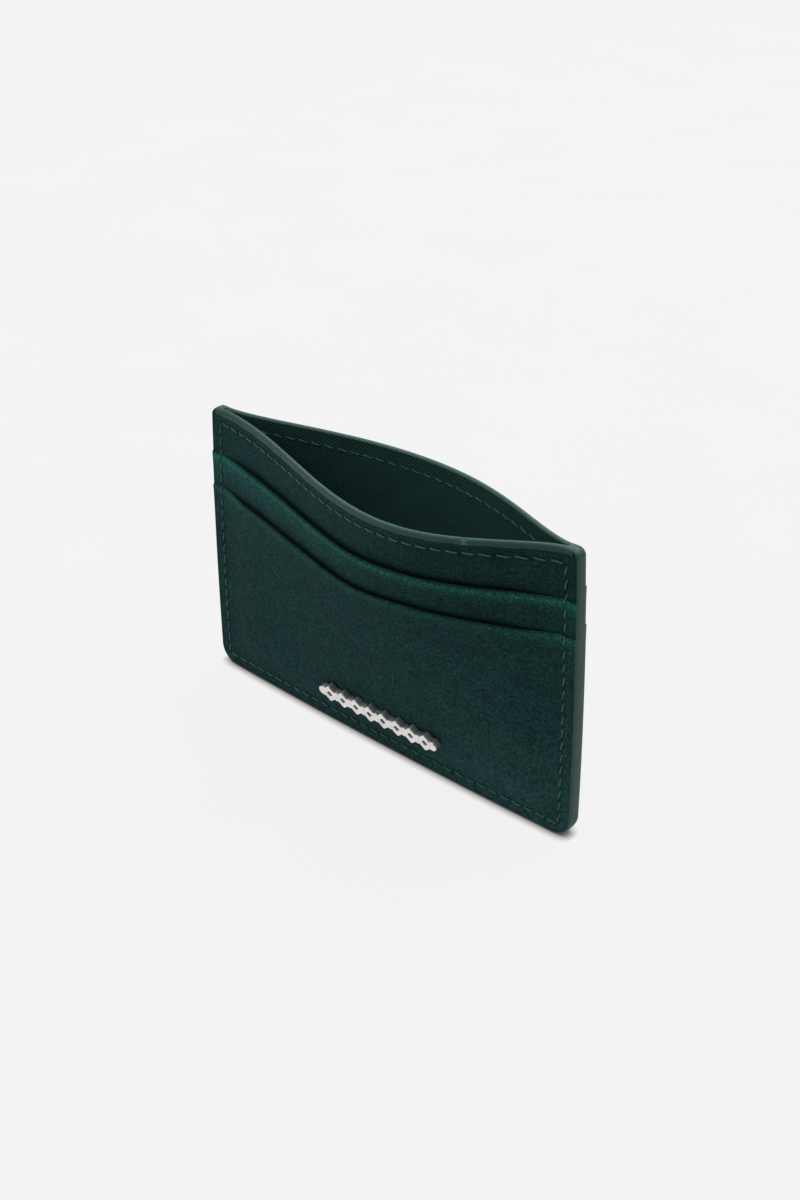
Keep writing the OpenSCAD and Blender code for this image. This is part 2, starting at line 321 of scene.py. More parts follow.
def steps(*spans):
    """Positions through spans of (start, end, spacing), each end shared with the next start."""
    found = []
    for start, end, spacing in spans:
        count = max(1, round(abs(end - start) / spacing))
        found += list(np.linspace(start, end, count, endpoint=False))
    return np.array(found + [spans[-1][1]])


def sheet_grid(inset, high, rim_detail, fine, coarse):
    """Grid of (x, s) over a sheet: fine near its edges and stitch lines, coarse elsewhere."""
    turn = np.arange(0, 8)
    low = inset + (ALLOWANCE - inset) * (1 - np.cos(turn / 8 * math.pi / 2)) * 0.5
    start = low[-1] + 0.3
    rows = steps((start, 5.0, fine), (5.0, high - rim_detail, coarse * 0.55))
    top = high - rim_detail * (1 - np.sin(np.linspace(0, math.pi / 2, 16)[1:]))
    s = np.concatenate([low, rows, top])[:, None]
    margin = steps((0.0, 0.4, 0.1), (0.4, 1.4, 0.25), (1.4, 4.4, fine), (4.4, 6.0, 0.5))
    inner = steps((-1.0, 1.0, coarse / 46.0))[1:-1]
    edge = edge_half(s, inset)
    left = -edge + margin[None, :]
    x = np.concatenate([left, inner[None, :] * (edge - margin[-1]), -left[:, ::-1]], 1)
    return x, np.broadcast_to(s, x.shape)


def close_sheet(name, side, x, s, inner, outer, attributes, **more):
    """A closed sheet between two offset surfaces on the same grid."""
    rows, cols = x.shape
    half = rows * cols
    points = np.concatenate(
        [wall(side, x, s, inner).reshape(-1, 3), wall(side, x, s, outer).reshape(-1, 3)]
    )
    index = np.arange(half).reshape(rows, cols)
    cell = np.stack(
        [index[:-1, :-1], index[1:, :-1], index[1:, 1:], index[:-1, 1:]], -1
    ).reshape(-1, 4)
    ring = np.concatenate(
        [index[0, :-1], index[:-1, -1], index[-1, :0:-1], index[:0:-1, 0]]
    )
    after = np.roll(ring, -1)
    band = np.stack([ring, after, after + half, ring + half], 1)
    quads = np.concatenate([cell, cell[:, ::-1] + half, band])
    wall_place = np.stack(
        [np.tile(x.ravel(), 2), np.tile(s.ravel(), 2), np.zeros(2 * half)], 1
    )
    wall_place[:, 2] = side * np.concatenate([inner.ravel(), outer.ravel()])
    given = [("wall", wall_place)]
    given += [(key, np.tile(values.ravel(), 2)) for key, values in attributes]
    return make_object(name, points, quads, given, **more)


# Materials


class Nodes:
    """A material's node tree, with short calls for the nodes used here."""

    def __init__(self, name):
        self.material = bpy.data.materials.new(name)
        self.material.use_nodes = True
        self.tree = self.material.node_tree
        self.tree.nodes.clear()
        self.shader = self.tree.nodes.new("ShaderNodeBsdfPrincipled")
        out = self.tree.nodes.new("ShaderNodeOutputMaterial")
        self.tree.links.new(self.shader.outputs[0], out.inputs[0])

    def put(self, socket, value):
        if isinstance(value, bpy.types.NodeSocket):
            self.tree.links.new(value, socket)
        else:
            socket.default_value = value

    def attribute(self, key, output="Vector"):
        node = self.tree.nodes.new("ShaderNodeAttribute")
        node.attribute_name = key
        return node.outputs[output]

    def object_place(self):
        """Object coordinates in millimetres."""
        node = self.tree.nodes.new("ShaderNodeTexCoord")
        return self.vector("MULTIPLY", node.outputs["Object"], (1000, 1000, 1000))

    def vector(self, operation, a, b):
        node = self.tree.nodes.new("ShaderNodeVectorMath")
        node.operation = operation
        self.put(node.inputs[0], a)
        self.put(node.inputs[1], b)
        return node.outputs["Value" if operation == "DOT_PRODUCT" else "Vector"]

    def noise(self, place, scale, detail=2.0, roughness=0.5, distortion=0.0):
        node = self.tree.nodes.new("ShaderNodeTexNoise")
        self.put(node.inputs["Vector"], place)
        node.inputs["Scale"].default_value = scale
        node.inputs["Detail"].default_value = detail
        node.inputs["Roughness"].default_value = roughness
        node.inputs["Distortion"].default_value = distortion
        return node.outputs["Fac"]

    def math(self, operation, a, b=0.0, clamp=False):
        node = self.tree.nodes.new("ShaderNodeMath")
        node.operation = operation
        node.use_clamp = clamp
        self.put(node.inputs[0], a)
        self.put(node.inputs[1], b)
        return node.outputs[0]

    def spread(self, value, low, high, to_low=0.0, to_high=1.0):
        """Maps low..high to to_low..to_high, and holds it there outside."""
        node = self.tree.nodes.new("ShaderNodeMapRange")
        self.put(node.inputs["Value"], value)
        for key, number in zip(
            ("From Min", "From Max", "To Min", "To Max"), (low, high, to_low, to_high)
        ):
            node.inputs[key].default_value = number
        return node.outputs[0]

    def mix(self, amount, a, b, blend="MIX"):
        node = self.tree.nodes.new("ShaderNodeMix")
        node.data_type = "RGBA"
        node.blend_type = blend
        self.put(node.inputs[0], amount)
        self.put(node.inputs[6], a)
        self.put(node.inputs[7], b)
        return node.outputs[2]

    def grey(self, value):
        node = self.tree.nodes.new("ShaderNodeCombineXYZ")
        for i in range(3):
            self.put(node.inputs[i], value)
        return node.outputs[0]

    def bump(self, height, distance, strength=1.0, normal=None):
        node = self.tree.nodes.new("ShaderNodeBump")
        node.inputs["Strength"].default_value = strength
        node.inputs["Distance"].default_value = distance * MM
        self.put(node.inputs["Height"], height)
        if normal is not None:
            self.put(node.inputs["Normal"], normal)
        return node.outputs[0]

    def finish(self, **sockets):
        for key, value in sockets.items():
            self.put(self.shader.inputs[key.replace("_", " ")], value)
        return self.material


def colour(r, g, b):
    """An sRGB colour from 0 to 255 as the linear colour that nodes take."""
    given = [c / 255 for c in (r, g, b)]
    return (
        *[c / 12.92 if c <= 0.04045 else ((c + 0.055) / 1.055) ** 2.4 for c in given],
        1.0,
    )


def suede_material():
    """Napped suede: faint patches, mottled nap, and bright raw fibre along the pocket rims, with
    painted shade and painted light and shade from the sheets' attributes.
    """
    n = Nodes("suede")
    place = n.attribute("wall")
    raw = n.attribute("raw", "Fac")
    dark = n.attribute("shaded", "Fac")
    patch = n.noise(place, 0.05, 2, 0.5, 0.6)
    cloud = n.noise(place, 0.32, 3, 0.6)
    nap = n.noise(place, 1.5, 3, 0.65)
    fibre = n.noise(n.vector("MULTIPLY", place, (1.0, 0.6, 1.0)), 4.0, 2, 0.6)
    tone = n.mix(
        n.spread(patch, 0.4, 0.6), colour(23, 51, 49), colour(24, 49, 50)
    )
    shade = n.math(
        "MULTIPLY",
        n.spread(cloud, 0.25, 0.75, 0.8, 1.2),
        n.spread(nap, 0.28, 0.72, 0.38, 1.64),
    )
    shade = n.math("MULTIPLY", shade, n.spread(fibre, 0.3, 0.7, 0.62, 1.38))
    # the tone attribute is painted light and shade across the walls
    shade = n.math("MULTIPLY", shade, n.attribute("tone", "Fac"))
    tone = n.mix(1.0, tone, n.grey(shade), "MULTIPLY")
    speck = n.math("MULTIPLY", raw, n.spread(fibre, 0.38, 0.64, 0.1, 1.0))
    tone = n.mix(speck, tone, colour(38, 118, 104))
    glint = n.math("MULTIPLY", raw, n.spread(n.noise(place, 3.2, 1), 0.64, 0.72))
    tone = n.mix(glint, tone, colour(80, 168, 150))
    # painted shade: towards near black where the shaded attribute says
    tone = n.mix(dark, tone, colour(7, 15, 14))
    height = n.math("ADD", n.math("MULTIPLY", nap, 0.7), n.math("MULTIPLY", fibre, 0.5))
    height = n.math("ADD", height, n.math("MULTIPLY", cloud, 0.5))
    n.shader.inputs["Sheen Tint"].default_value = (0.45, 0.85, 0.78, 1)
    return n.finish(
        Base_Color=tone,
        Roughness=n.spread(nap, 0.3, 0.7, 0.86, 1.0),
        Specular_IOR_Level=0.05,
        Sheen_Weight=0.02,
        Sheen_Roughness=0.45,
        Normal=n.bump(height, 0.16, 0.8),
    )


def twill_material():
    """Fine diagonal twill: ribs of 0.7 mm with the threads crossing them."""
    n = Nodes("twill")
    place = n.attribute("wall")
    angle = math.radians(-24.0)
    across = (-math.sin(angle), math.cos(angle), 0.0)
    wobble = n.math("MULTIPLY", n.noise(place, 0.25, 2), 0.5)
    rib_turn = n.math(
        "ADD",
        n.math("MULTIPLY", n.vector("DOT_PRODUCT", place, across), 2 * math.pi / 0.7),
        wobble,
    )
    rib = n.math("SINE", rib_turn)
    pick = n.math(
        "SINE",
        n.math(
            "MULTIPLY",
            n.vector("DOT_PRODUCT", place, (math.cos(1.1), math.sin(1.1), 0.0)),
            2 * math.pi / 0.36,
        ),
    )
    weave = n.math("ADD", n.math("MULTIPLY", rib, 0.38), n.math("MULTIPLY", pick, 0.1))
    weave = n.math("ADD", weave, 0.5)
    dirt = n.noise(place, 0.2, 3)
    tone = n.mix(n.spread(weave, 0.05, 0.95), colour(10, 26, 25), colour(37, 78, 73))
    tone = n.mix(n.spread(dirt, 0.3, 0.7, 0.0, 0.4), tone, colour(18, 44, 41))
    n.shader.inputs["Sheen Tint"].default_value = (0.6, 0.8, 0.75, 1)
    return n.finish(
        Base_Color=tone,
        Roughness=n.spread(weave, 0.1, 0.9, 0.8, 0.62),
        Specular_IOR_Level=0.15,
        Sheen_Weight=0.02,
        Normal=n.bump(weave, 0.14, 1.0),
    )


def paint_material():
    """Edge paint: rubbery and satin, with brush waves, dust and a few worn spots."""
    n = Nodes("edge_paint")
    place = n.object_place()
    flow = n.noise(n.vector("MULTIPLY", place, (0.4, 1.0, 0.4)), 0.9, 3, 0.55)
    grain = n.noise(place, 4.5, 3, 0.6)
    dust = n.noise(place, 9.0, 1, 0.5)
    tone = n.mix(n.spread(flow, 0.3, 0.7), colour(26, 60, 54), colour(32, 69, 62))
    tone = n.mix(n.spread(grain, 0.55, 0.75, 0.0, 0.5), tone, colour(20, 48, 43))
    tone = n.mix(n.spread(dust, 0.7, 0.78, 0.0, 0.6), tone, colour(62, 96, 88))
    tone = n.mix(n.attribute("thin", "Fac"), tone, colour(22, 46, 43))
    tone = n.mix(n.attribute("worn", "Fac"), tone, colour(34, 96, 82))
    return n.finish(
        Base_Color=tone,
        Roughness=n.spread(flow, 0.3, 0.7, 0.46, 0.6),
        Specular_IOR_Level=0.28,
        Normal=n.bump(n.math("ADD", flow, n.math("MULTIPLY", grain, 0.25)), 0.08, 0.6),
    )


def thread_material():
    """Sewing thread: two plies twisted round each other."""
    n = Nodes("thread")
    place = n.object_place()
    ply = n.math("SINE", n.math("MULTIPLY", n.attribute("twist", "Fac"), 2 * math.pi))
    fuzz = n.noise(place, 6.0, 2)
    tone = n.mix(n.spread(ply, -1, 1), colour(20, 54, 48), colour(56, 106, 94))
    tone = n.mix(n.spread(fuzz, 0.35, 0.65, 0.0, 0.6), tone, colour(26, 64, 56))
    n.shader.inputs["Sheen Tint"].default_value = (0.8, 1.0, 0.95, 1)
    return n.finish(
        Base_Color=tone,
        Roughness=n.spread(ply, -1, 1, 0.7, 0.5),
        Sheen_Weight=0.08,
        Normal=n.bump(ply, 0.05, 0.8),
    )


def metal_material(name, low, high, rough):
    n = Nodes(name)
    place = n.object_place()
    smear = n.noise(place, 0.5, 2)
    fine = n.noise(n.vector("MULTIPLY", place, (1.0, 1.0, 3.0)), 7.0, 2)
    return n.finish(
        Base_Color=n.mix(n.spread(smear, 0.3, 0.7), colour(*low), colour(*high)),
        Metallic=1.0,
        Roughness=n.spread(fine, 0.3, 0.7, *rough),
        Normal=n.bump(fine, 0.01, 0.4),
    )


def board_material():
    """Bonded fibre board of the stiffeners."""
    n = Nodes("stiffener_board")
    place = n.attribute("wall")
    fibre = n.noise(n.vector("MULTIPLY", place, (1.0, 0.2, 1.0)), 1.6, 4, 0.65)
    return n.finish(
        Base_Color=n.mix(fibre, colour(150, 140, 120), colour(196, 188, 168)),
        Roughness=n.spread(fibre, 0.3, 0.7, 0.8, 0.95),
        Normal=n.bump(fibre, 0.05, 0.6),
    )


def floor_material():
    """A pale paper sweep: it glows evenly, with a painted soft shadow where something stands on it.
    """
    n = Nodes("pale_floor")
    near = n.tree.nodes.new("ShaderNodeAmbientOcclusion")
    near.inputs["Distance"].default_value = 0.0022
    near.samples = 12
    grain = n.noise(n.object_place(), 0.02, 2)
    pale = n.mix(grain, colour(240, 240, 240), colour(242, 242, 242))
    amount = n.spread(near.outputs["AO"], 0.35, 1.0)
    glow = n.mix(amount, colour(84, 76, 74), pale)
    n.shader.inputs["Emission Strength"].default_value = 0.985
    return n.finish(
        Base_Color=(0.02, 0.02, 0.02, 1),
        Roughness=0.9,
        Specular_IOR_Level=0.0,
        Emission_Color=glow,
    )


# The pieces


def panel_sheet(name, side, kind):
    """A lining, stiffener or body panel, which reach up to the painted rim."""
    low, high = {"lining": LINING, "stiffener": STIFFENER, "body": BODY}[kind]
    coarse = {"lining": 1.0, "stiffener": 2.0, "body": 0.7}[kind]
    fine = {"lining": 0.3, "stiffener": 0.8, "body": 0.3}[kind]
    x, s = sheet_grid(PAINT, HEIGHT - PAINT, 5.0, fine, coarse)
    inner = np.full(x.shape, low)
    outer = np.full(x.shape, high)
    if kind == "lining":
        inner = inner + np.minimum(0.08, 0.6 * dents(x, s, inside_stitches(), 0.06, 0.12))
    if kind == "body":
        edge = edge_distance(x, s)
        outer = outer - dents(x, s, rim_line_stitches() + seam_line_stitches())
        outer = outer - 0.1 * np.exp(-((edge - PAINT) / 0.35))
        outer = outer - 0.12 * np.exp(-((HEIGHT - PAINT - s) / 0.4))
        outer = outer + ripple(x, s, 11 + side, 9.0, 0.03) * pocket_free(x, s)
    shaded = 0 * x
    if kind == "body":
        # painted shade just above the upper pocket's rim
        shaded = painted_rim_shade(x, s, rim_height("upper", side, x))
        # painted shade in the needle holes of the rim and seam lines
        shade_in_holes = painted_hole_shade(x, s, rim_line_stitches() + seam_line_stitches())
        shaded = np.maximum(shaded, shade_in_holes)
    given = [("raw", 0 * x), ("shaded", shaded), ("tone", painted_light_and_shade(side, x, s))]
    return close_sheet(name, side, x, s, inner, outer, given)


def painted_rim_shade(x, s, rim):
    """Painted shade on the nap just above a pocket's rim, on the leather behind it."""
    above = np.maximum(0.0, s - rim)
    return (0.3 + 0.4 * pocket_free(x, s)) * np.exp(-above / 0.7)


def painted_hole_shade(x, s, stitches):
    """Painted shade in the needle holes at the ends of the stitches."""
    return np.minimum(0.9, dents(x, s, stitches, 0.0, 1.0) * 1.1)


def painted_light_and_shade(side, x, s):
    """Painted light and shade across a wall: lighter low on one side, darker towards the top of it.
    """
    across = side * -x
    low = 0.3 * smooth((across - 5) / 35) * smooth((32 - s) / 26)
    high = 0.26 * smooth((across + 15) / 50) * smooth((s - 34) / 22)
    left = 0.12 * smooth((-12 - across) / 26) * smooth((s - 30) / 20) * (s < UPPER_RIM)
    return 1 + low - high + left


def inside_stitches():
    return rim_line_stitches()[1:-1]


def pocket_sheet(name, side, level):
    """A card pocket: its rim stands off a little, worn and fibrous, and the seams pull it down."""
    rim = cut_rim(level, side)
    upper = level == "upper"
    x, cut = sheet_grid(PAINT, rim, 4.0, 0.3, 0.7)
    across = side * -x
    below = rim - cut
    seed = 31 + 7 * (not upper) + side
    s = cut - rim_sag(level, across) * smooth(1 - below / 16.0)
    worn = np.clip(1 - below / 0.2, 0, 1)
    s = s + worn * ripple(x, 0 * s, seed + 3, 1.1, 0.05)
    if upper:
        inner, outer = upper_inner(x, s), upper_outer(x, s)
    else:
        inner, outer = lower_inner(x, s), lower_outer(x, s)
    free = pocket_free(x, s)
    stand_off = RIM_STAND_OFF * free * np.exp(-below / 5.0)
    swell = LIP_SWELL * (1 - free) * np.exp(-below / 2.5)
    uneven = ripple(x, s, seed, 12.0, 0.05) * free
    outer = outer + stand_off + uneven + swell
    inner = inner + stand_off + uneven
    outer = outer - dents(x, s, seam_line_stitches())
    edge = edge_distance(x, s)
    outer = outer - 0.07 * np.exp(-((edge - PAINT) / 0.35)) * (outer - inner > 0.1)
    outer = outer - 0.6 * np.clip(1 - below / 0.7, 0, 1) ** 2 * (outer - inner)
    outer = np.maximum(outer, inner + 0.03)
    band = (0.3 + 0.7 * smooth(below)) * np.exp(-np.maximum(0, below - 1.2) / 0.9)
    raw = band * (0.6 if upper else 0.22)
    if upper:
        raw = raw * (0.8 + 0.2 * smooth((20 - across) / 50))
        wash = 0.26 * smooth((28 - across) / 50) * smooth(1 - below / 9.0)
        raw = np.maximum(raw, wash)
    raw = np.clip(raw + 0.25 * (1 - free) * np.exp(-below / 3.0), 0, 1)
    # painted shade in the needle holes of the seam
    shaded = painted_hole_shade(x, s, seam_line_stitches())
    # painted shade along the pocket's own rim edge, where it turns up
    shaded = np.maximum(shaded, 0.55 * np.exp(-below / 0.3))
    if upper:
        # painted shade just above the lower pocket's rim
        shaded = np.maximum(shaded, painted_rim_shade(x, s, rim_height("lower", side, x)))
    given = [("raw", raw), ("shaded", shaded), ("tone", painted_light_and_shade(side, x, s))]
    return close_sheet(name, side, x, s, inner, outer, given)


def tube(name, paths, radius, sides=8):
    """Round threads along paths of (points in metres, twist start)."""
    points, quads, twists = [], [], []
    for path, start in paths:
        path = np.asarray(path)
        tangent = np.gradient(path, axis=0)
        tangent /= np.linalg.norm(tangent, axis=1)[:, None]
        ref = np.array([0.0, 1.0, 0.0])
        u = np.cross(tangent, ref)
        u /= np.linalg.norm(u, axis=1)[:, None]
        v = np.cross(tangent, u)
        count = len(path)
        taper = radius * np.sqrt(
            np.clip(1.04 - np.abs(np.linspace(-1, 1, count)) ** 6, 0.12, 1)
        )
        angles = np.arange(sides) / sides * 2 * math.pi
        turn_u = np.cos(angles)[None, :, None] * u[:, None, :]
        turn_v = np.sin(angles)[None, :, None] * v[:, None, :]
        ring = path[:, None, :] + (turn_u + turn_v) * taper[:, None, None]
        base = sum(len(p) for p in points)
        points.append(ring.reshape(-1, 3))
        spin = start + np.linspace(0, 3.5, count)
        twists.append((spin[:, None] + angles[None, :] / math.pi).ravel())
        index = base + np.arange(count * sides).reshape(count, sides)
        after = np.roll(index, -1, axis=1)
        quads.append(
            np.stack([index[:-1], after[:-1], after[1:], index[1:]], -1).reshape(-1, 4)
        )
        for end in (index[0][::-1], index[-1]):
            for i in range(0, sides - 2, 2):
                quads.append(
                    np.array([[end[0], end[i + 1], end[i + 2], end[(i + 3) % sides]]])
                )
    return make_object(
        name, np.concatenate(points), np.concatenate(quads), [("twist", np.concatenate(twists))], 80
    )


def stitch_path(side, stitch, offset_of, rise_of=0.09, dive=0.3):
    """One stitch's line: up out of one needle hole and down into the next."""
    (ax, a_s), (bx, b_s) = stitch_ends(stitch)
    t = np.linspace(0, 1, 11)
    x, s = ax + (bx - ax) * t, a_s + (b_s - a_s) * t
    arch = 1 - np.abs(2 * t - 1) ** 2.8
    lift = rise_of * arch - dive * (1 - arch) ** 3
    return wall(side, x, s, offset_of(x, s) + lift)


def body_face(x, s):
    return np.full(x.shape, BODY[1])


def lining_face(x, s):
    return np.full(x.shape, LINING[0] - GLUE)


def thread_piece(name, side, stitches, offset_of, inside=()):
    """A row of stitches, each leaning a little its own way, with those on the lining's side."""
    draw = np.random.RandomState(len(name) + side)
    paths = []
    for st in stitches:
        lean = draw.uniform(-0.06, 0.06)
        tilted = (st[0], st[1], st[2] - lean * st[3], st[3] + lean * st[2])
        paths.append((stitch_path(side, tilted, offset_of), draw.uniform(0, 1)))
    for st in inside:
        path = stitch_path(side, st, lining_face, rise_of=-0.15, dive=-0.2)
        paths.append((path, draw.uniform(0, 1)))
    return tube(name, paths, THREAD * MM)


def loft(name, rings, attributes, sharp=60):
    """A closed, capped solid through rings of the same number of points, in metres."""
    rings = np.asarray(rings)
    count, sides = rings.shape[:2]
    index = np.arange(count * sides).reshape(count, sides)
    after = np.roll(index, -1, axis=1)
    quads = [np.stack([index[:-1], after[:-1], after[1:], index[1:]], -1).reshape(-1, 4)]
    points = rings.reshape(-1, 3)
    values = [(key, np.asarray(v).ravel()) for key, v in attributes]
    middles = []
    for k, end in enumerate((index[0][::-1], index[-1])):
        middles.append(points[end].mean(0))
        hub = np.full(sides, count * sides + k)
        after_end = np.roll(end, -1)
        quads.append(np.stack([hub, end, after_end, after_end], 1))
    points = np.concatenate([points, middles])
    values = [(key, np.concatenate([v, v[[0, -1]]])) for key, v in values]
    return make_mixed(name, points, np.concatenate(quads), values, sharp)


def make_mixed(name, points, quads, attributes, sharp):
    """As make_object, for quads of which some are triangles with their last corner repeated."""
    tri = quads[:, 2] == quads[:, 3]
    faces = [list(q[:3]) if t else list(q) for q, t in zip(quads.tolist(), tri)]
    if signed_volume(points, quads) < 0:
        faces = [f[::-1] for f in faces]
    mesh = bpy.data.meshes.new(name)
    mesh.from_pydata(points.tolist(), [], faces)
    shade_smooth(mesh, sharp)
    for key, values in attributes:
        layer = mesh.attributes.new(key, "FLOAT", "POINT")
        layer.data.foreach_set("value", np.asarray(values, float))
    return link_object(name, mesh)


def rim_bead(name, side):
    """Paint over the cut top edge of one wall: a rounded bead with a lip down the suede."""
    overlap, columns = 0.4, 340
    paint_skin, outer_drop, inner_drop = 0.1, 0.8, 0.5
    nick_width, nick_depth = 0.45, 0.18
    end = half_width(HEIGHT) - TOP_CORNER + overlap
    outer, top = BODY[1] + paint_skin, HEIGHT
    middle, half = (outer + GLUE) / 2, (outer - GLUE) / 2
    rings, worn, thin = [], [], []
    arc = np.linspace(0, math.pi, 15)
    for x in np.linspace(-end, end, columns):
        lip = 1.35 + 0.07 * math.sin(x * 0.9 + side) + 0.04 * math.sin(x * 3.1)
        nick = math.exp(-(((x - NICK_X) / nick_width) ** 2)) if side == FRONT else 0.0
        dome_o = middle - half * np.cos(arc)
        depth = np.where(dome_o > middle, outer_drop, inner_drop)
        dome_s = top - depth * (1 - np.sin(arc) ** 0.85)
        dome_s = dome_s - nick_depth * nick * (dome_o > middle)
        lip_o = np.array([outer - 0.01, outer - 0.04, BODY[1] + 0.015])
        lip_s = np.array([top - 0.95, top - lip + 0.12, top - lip])
        under_o = np.array([BODY[1] + 0.01, BODY[1] + 0.01, GLUE])
        under_s = np.array([top - 0.6, top - PAINT + 0.01, top - PAINT + 0.01])
        o = np.concatenate([dome_o, lip_o, under_o])
        s = np.concatenate([dome_s, lip_s, under_s])
        rings.append(wall(side, np.full(o.shape, x), s, o))
        worn.append(np.where(o > middle + 0.4, nick, 0.0))
        thin.append(np.where(o > middle, smooth((top - s - 0.25) / 0.75), 0.0))
    return loft(name, rings, [("worn", worn), ("thin", thin)])


def outline_path(inset):
    """Outline (x, s) from one end of the mouth, round the bottom, to the other end."""
    top_r, low_r = TOP_CORNER - inset, CORNER - inset
    found = []
    for x in np.linspace(seam_half(HEIGHT) + 0.2, half_width(HEIGHT) - TOP_CORNER, 6):
        found.append((x, HEIGHT - inset))
    for a in np.linspace(90, 0, 9)[1:]:
        s = HEIGHT - TOP_CORNER + top_r * math.sin(math.radians(a))
        x = half_width(s) - TOP_CORNER + top_r * math.cos(math.radians(a))
        found.append((x, s))
    for s in steps((HEIGHT - TOP_CORNER, CORNER, 0.45))[1:]:
        found.append((half_width(s) - inset, s))
    for a in np.linspace(0, 90, 19)[1:]:
        s = CORNER - low_r * math.sin(math.radians(a))
        x = half_width(s) - CORNER + low_r * math.cos(math.radians(a))
        found.append((x, s))
    side = np.array(found)
    bottom_end = side[-1, 0]
    bottom = np.linspace(bottom_end, -bottom_end, 130)[1:-1]
    bottom = np.stack([bottom, np.full(bottom.shape, inset)], 1)
    return np.concatenate([side, bottom, side[::-1] * (-1, 1)])


def rim_swell(side, x, s):
    """Pocket rims stand a little proud at the sides."""
    total = np.zeros(np.shape(s))
    for rim in (rim_height("upper", side, x), rim_height("lower", side, x)):
        total = total + np.where(s < rim, LIP_SWELL * np.exp(-(rim - s) / 2.5), 0.0)
    return total


def side_of(across):
    """The wall that a place across the edge belongs to: -1 is the front face, 1 the back."""
    return FRONT if across < 0 else BACK


def edge_bead(name):
    """Paint over all the cut edges, down both sides and along the bottom."""
    lip_inset, brow_inset, under_inset, bulge = 0.42, 0.36, 0.31, 0.24
    dome = [("dome", side_of(a), bulge * abs(a) ** 3.2, a) for a in np.linspace(-1, 1, 17)]
    lines = [("lip", FRONT, lip_inset, 1), ("brow", FRONT, brow_inset, 1)] + dome
    lines += [("brow", BACK, brow_inset, 1), ("lip", BACK, lip_inset, 1)]
    lines += [("under", BACK, under_inset, 1), ("under", FRONT, under_inset, 1)]
    thinness = {"lip": 1.0, "brow": 0.6}
    cols, thin = [], []
    for part, side, inset, across in lines:
        x, s = outline_path(inset).T
        lip_wave = 0.5 + 0.5 * np.sin(np.arange(len(x)) * 0.35)
        face = outer_face(side, x, s) + rim_swell(side, x, s)
        offset = {
            "lip": face + 0.01,
            "brow": face + 0.05 + 0.02 * lip_wave,
            "under": face + 0.005,
            "dome": (face + 0.05) * abs(across),
        }[part]
        cols.append(wall(side, x, s, offset))
        thin.append(np.full(len(x), thinness.get(part, 0.0)))
    rings, thin = np.stack(cols, 1), np.stack(thin, 1)
    return loft(name, rings, [("worn", np.zeros(thin.shape)), ("thin", thin)])


def badge_frame():
    """Badge's own axes: +Z points away from the wall."""
    x, s, probe = BADGE_X, BADGE_S, 0.5
    here = wall(FRONT, x, s, lower_outer(x, s))
    right = wall(FRONT, x + probe, s, lower_outer(x + probe, s))
    above = wall(FRONT, x, s + probe, lower_outer(x, s + probe))
    turn = math.atan2(right[1] - here[1], right[0] - here[0])
    tip = math.atan2(here[1] - above[1], above[2] - here[2])
    return (
        Matrix.Translation(Vector(here))
        @ Matrix.Rotation(turn, 4, "Z")
        @ Matrix.Rotation(math.pi / 2 + tip, 4, "X")
    )


def evaluated_mesh(obj):
    """A new mesh with the object's modifiers or curve settings applied."""
    graph = bpy.context.evaluated_depsgraph_get()
    return bpy.data.meshes.new_from_object(obj.evaluated_get(graph))


def curve_plate(name, outlines, thick, bevel):
    """A flat plate with rounded arrises from closed outlines, holes among them, in millimetres."""
    data = bpy.data.curves.new(name, "CURVE")
    data.dimensions = "2D"
    data.fill_mode = "BOTH"
    data.extrude = (thick / 2 - bevel) * MM
    data.bevel_depth = bevel * MM
    data.bevel_resolution = 3
    for outline in outlines:
        spline = data.splines.new("POLY")
        spline.points.add(len(outline) - 1)
        for point, (x, y) in zip(spline.points, outline):
            point.co = (x * MM, y * MM, 0, 1)
        spline.use_cyclic_u = True
    obj = link_object(name, data)
    mesh = evaluated_mesh(obj)
    bpy.data.objects.remove(obj)
    bpy.data.curves.remove(data)
    weld = bmesh.new()
    weld.from_mesh(mesh)
    bmesh.ops.remove_doubles(weld, verts=weld.verts, dist=1e-7)
    weld.to_mesh(mesh)
    weld.free()
    return link_object(name, mesh)


def rounded_lozenge(cx, length, height, radius, turn=1, steps_per_corner=6):
    """Outline of a lozenge with rounded corners."""
    corners = [(length / 2, 0), (0, height / 2), (-length / 2, 0), (0, -height / 2)]
    points = []
    for i, corner in enumerate(corners):
        p = Vector(corner)
        a = (Vector(corners[i - 1]) - p).normalized()
        b = (Vector(corners[(i + 1) % 4]) - p).normalized()
        reach = radius / math.tan(a.angle(b) / 2)
        start, end = p + a * reach, p + b * reach
        for k in range(steps_per_corner + 1):
            t = k / steps_per_corner
            q = start * (1 - t) ** 2 + p * 2 * t * (1 - t) + end * t**2
            points.append((cx + q.x, q.y))
    return points[::turn]


